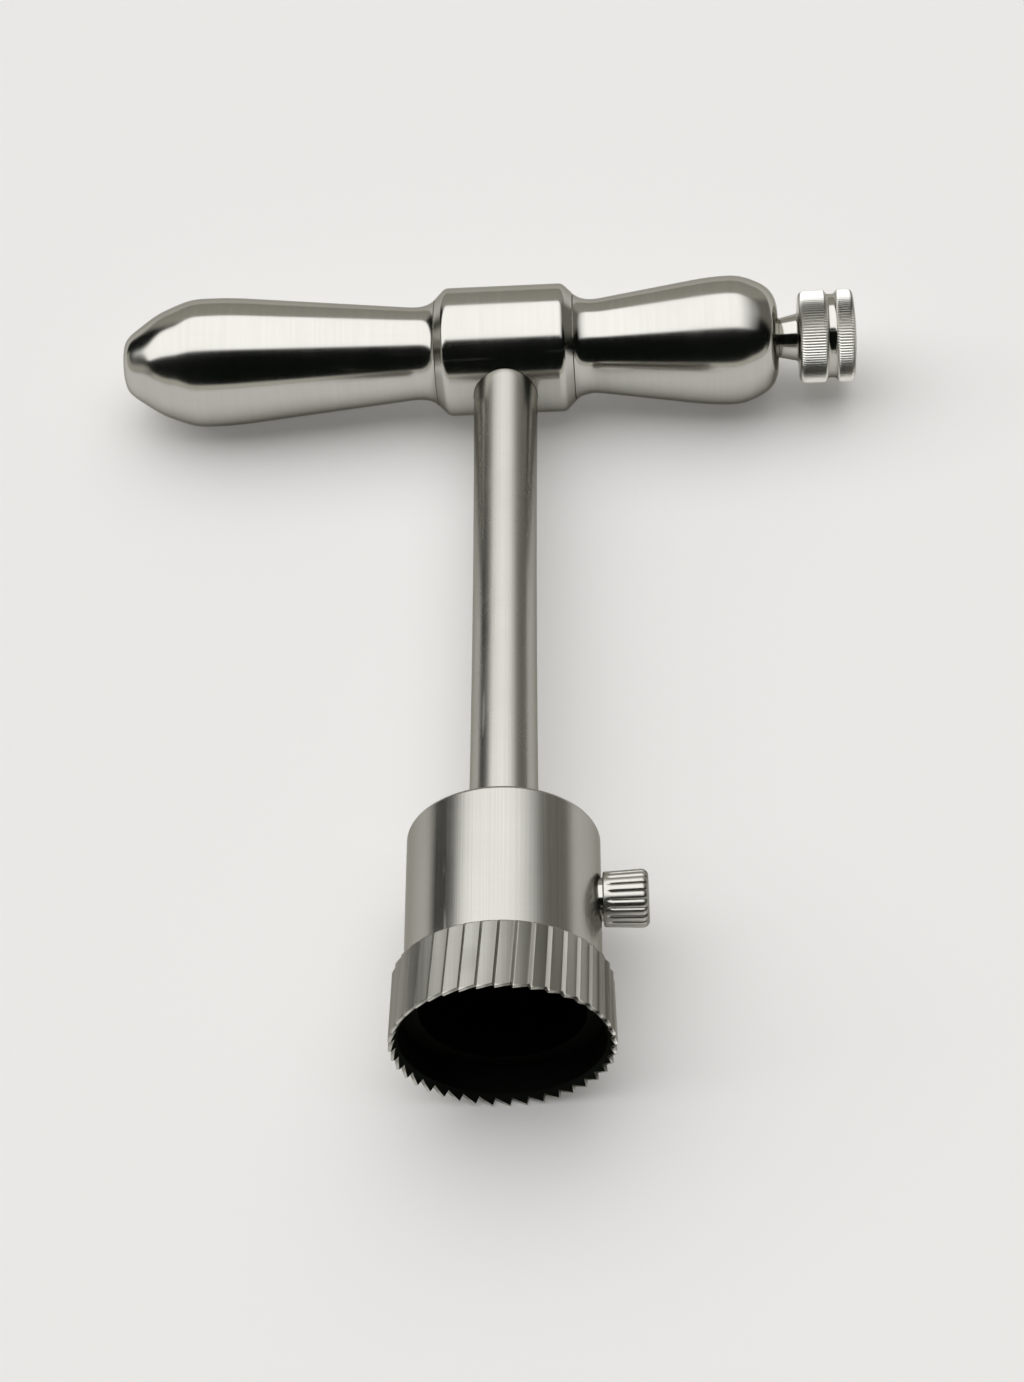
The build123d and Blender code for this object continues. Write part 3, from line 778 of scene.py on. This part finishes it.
# Saw crown, a slight cone: leaning flutes outside, raked teeth bevelled inside, a wider bore behind them
crownLook = {
    "teeth": 40,
    "radius": 12.7,
    "taper": 0.25,                    # how much narrower the shoulder is than the teeth
    "height": 8.8,
    "edge": 0.3,
    "toothDepth": 0.65,
    "toothLand": 0.02,                # half the tip's flat, as a share of the pitch
    "toothBack": 0.86,                # where the gullet is deepest, as a share of the pitch
    "edgeWall": 0.4,                  # wall at the tips, inside of which the teeth are bevelled
    "bevelHeight": 1.0,
    "fluteDepth": 0.32,
    "fluteStep": 0.2,                 # the steep face, as a share of the pitch
    "fluteSoft": 0.02,
    "fluteTurn": 2.776,               # degrees from the tips to the shoulder
    "tipRound": 0.04,
    "seatChamfer": 0.15,
    "boreRadius": 11.55,
    "boreDepth": 4.5,
    "seatRadius": 10.42,
    "columnShares": (0.0, 0.02, 0.04, 0.10, 0.2, 0.32, 0.44, 0.56, 0.68, 0.76, 0.80, 0.83, 0.86, 0.89, 0.93,
                     0.96, 0.98, 1.0),
    "rowHeights": (1.2, 2.4, 3.6, 4.8, 6.0, 7.0, 7.8, 8.3, 8.5, 8.58, 8.66, 8.74, 8.8),
}
crownSteel = dict(
    handleSteel,
    lightColour=(0.40, 0.395, 0.365, 1),
    darkColour=(0.31, 0.307, 0.28, 1),
    roughness=0.24,
    ringShare=0.15,
    linesAround=110.0,
    linesPerMetre=25.0,
    grainContrast=2.4,
    grainRoughness=0.14,
    grainDepth=0.004,
    smudgeTint=0.3,
    smudgeColour=(0.34, 0.32, 0.28, 1),
    crestRadius=12.5,
    crestTaper=0.028,
    crestSoftness=0.12,
    grooveFloor=11.9,
    # painted shade in the flutes
    grooveShadeTint=0.35,
    grooveShadeColour=(0.18, 0.176, 0.155, 1),
    ridgeRoughness=0.1,
    ridgeHighlightTint=0.0,
    ridgeHighlightColour=(0.35, 0.345, 0.32, 1),
    wornHeight=0.3,
    wornColour=(0.55, 0.54, 0.50, 1),
    # painted shade: the bore and the bevel behind the teeth are darkened almost to black
    innerFaces=[(11.62, 0.0), (12.35, 0.75)],
    innerSoftness=0.03,
    innerHeight=20.0,
    innerShadeColour=(0.012, 0.014, 0.011, 1),
    innerRoughness=0.3,
)
crownFinish = makeFinish("groundSawSteel", toolMatrix, crownSteel)


def fluteRadius(v, share):
    # the steep face climbs to the crest, the back falls slowly; both corners a little soft
    total = 0.0
    offsets = (-1.0, -0.5, 0.0, 0.5, 1.0)
    for offset in offsets:
        u = (share + offset * v["fluteSoft"]) % 1.0
        root = 1.0 - v["fluteStep"]
        drop = u / root if u < root else (1.0 - u) / v["fluteStep"]
        total += v["radius"] - v["fluteDepth"] * drop
    return total / len(offsets)


def toothHeight(v, share):
    land, back = v["toothLand"], v["toothBack"]
    if share <= land or share >= 1.0 - land:
        return 0.0
    if share < back:
        return v["toothDepth"] * (share - land) / (back - land)
    return v["toothDepth"] * (1.0 - land - share) / (1.0 - land - back)


def makeCrown(v):
    pitch = 360.0 / v["teeth"]
    tipRadius = v["radius"] - v["edgeWall"]
    bevel = (tipRadius - v["boreRadius"]) / v["bevelHeight"]
    columns = []
    for share in v["columnShares"]:
        outer = fluteRadius(v, share)
        tooth = toothHeight(v, share)
        column = [(tipRadius - bevel * tooth, share * pitch, tooth)]
        for height in (tooth, tooth + v["tipRound"], *v["rowHeights"]):
            turn = v["fluteTurn"] * height / v["height"]
            reach = outer - v["taper"] * height / v["height"]
            limit = v["radius"] - v["taper"] - max(0.0, height - v["height"] + v["edge"]) ** 2 / v["edge"]
            if height == tooth:
                reach = max(reach - v["tipRound"], tipRadius - bevel * tooth + v["tipRound"] / 2)
            if height > v["height"] - v["edge"]:
                reach = min(reach, limit)
            column.append((reach, share * pitch + turn, height))
        top = column[-1][1]
        column.append((v["seatRadius"] + v["seatChamfer"], top, v["height"]))
        column.append((v["seatRadius"], top, v["height"] - v["seatChamfer"]))
        column.append((v["seatRadius"], top, v["boreDepth"]))
        column.append((v["boreRadius"], top, v["boreDepth"]))
        column.append((v["boreRadius"], share * pitch, v["bevelHeight"]))
        columns.append(column)
    makeRound("sawCrownFluted", columns, True, v["teeth"], toolMatrix, crownFinish, "saw_crown", "cutter")


makeCrown(crownLook)

# Head and shaft, whose solids stay: fine lines along the axis, and painted shade darkening the bore in the head
satinSteel = dict(
    handleSteel,
    lightColour=(0.50, 0.492, 0.46, 1),
    darkColour=(0.42, 0.413, 0.382, 1),
    roughness=0.23,
    ringShare=0.1,
    linesAround=70.0,
    linesPerMetre=14.0,
    grainContrast=2.2,
    grainRoughness=0.12,
    grainDepth=0.003,
    smudgeTint=0.25,
)
headSteel = dict(
    satinSteel,
    # painted shade: the head's bore is darkened almost to black
    innerFaces=[(10.7, 0.0)],
    innerSoftness=0.02,
    innerHeight=14.0,
    innerShadeColour=(0.010, 0.011, 0.009, 1),
    innerRoughness=0.3,
)
headFinish = makeFinish("satinHeadSteel", toolMatrix, headSteel)
shaftSteel = dict(
    satinSteel,
    linesAround=20.0,
    linesPerMetre=9.0,
    roughness=0.25,
    grainContrast=1.2,
    grainRoughness=0.03,
    grainDepth=0.0006,
    scratchShare=0.0,
)
shaftFinish = makeFinish("satinShaftSteel", toolMatrix, shaftSteel)
pinSteel = dict(shaftSteel, linesAround=14.0, ringShare=0.7, roughness=0.16)
pinFinish = makeFinish("groundPinSteel", toolMatrix, pinSteel)
screwSteel = dict(handleSteel, ringShare=0.9, roughness=0.10)
screwFinish = makeFinish("polishedScrewSteel", screwMatrix, screwSteel)
spindleFinish = makeFinish("turnedSpindleSteel", handleMatrix, dict(shaftSteel, ringShare=0.9))

carried = {
    "hub": handleFinish,
    "crown_head": headFinish,
    "shaft": shaftFinish,
    "centre_pin": pinFinish,
    "pin_screw": screwFinish,
    "lock_spindle": spindleFinish,
}
for nodeName, finish in carried.items():
    data = frame["nodes"][nodeName].data
    data.materials.clear()
    data.materials.append(finish)
print("finishes set")
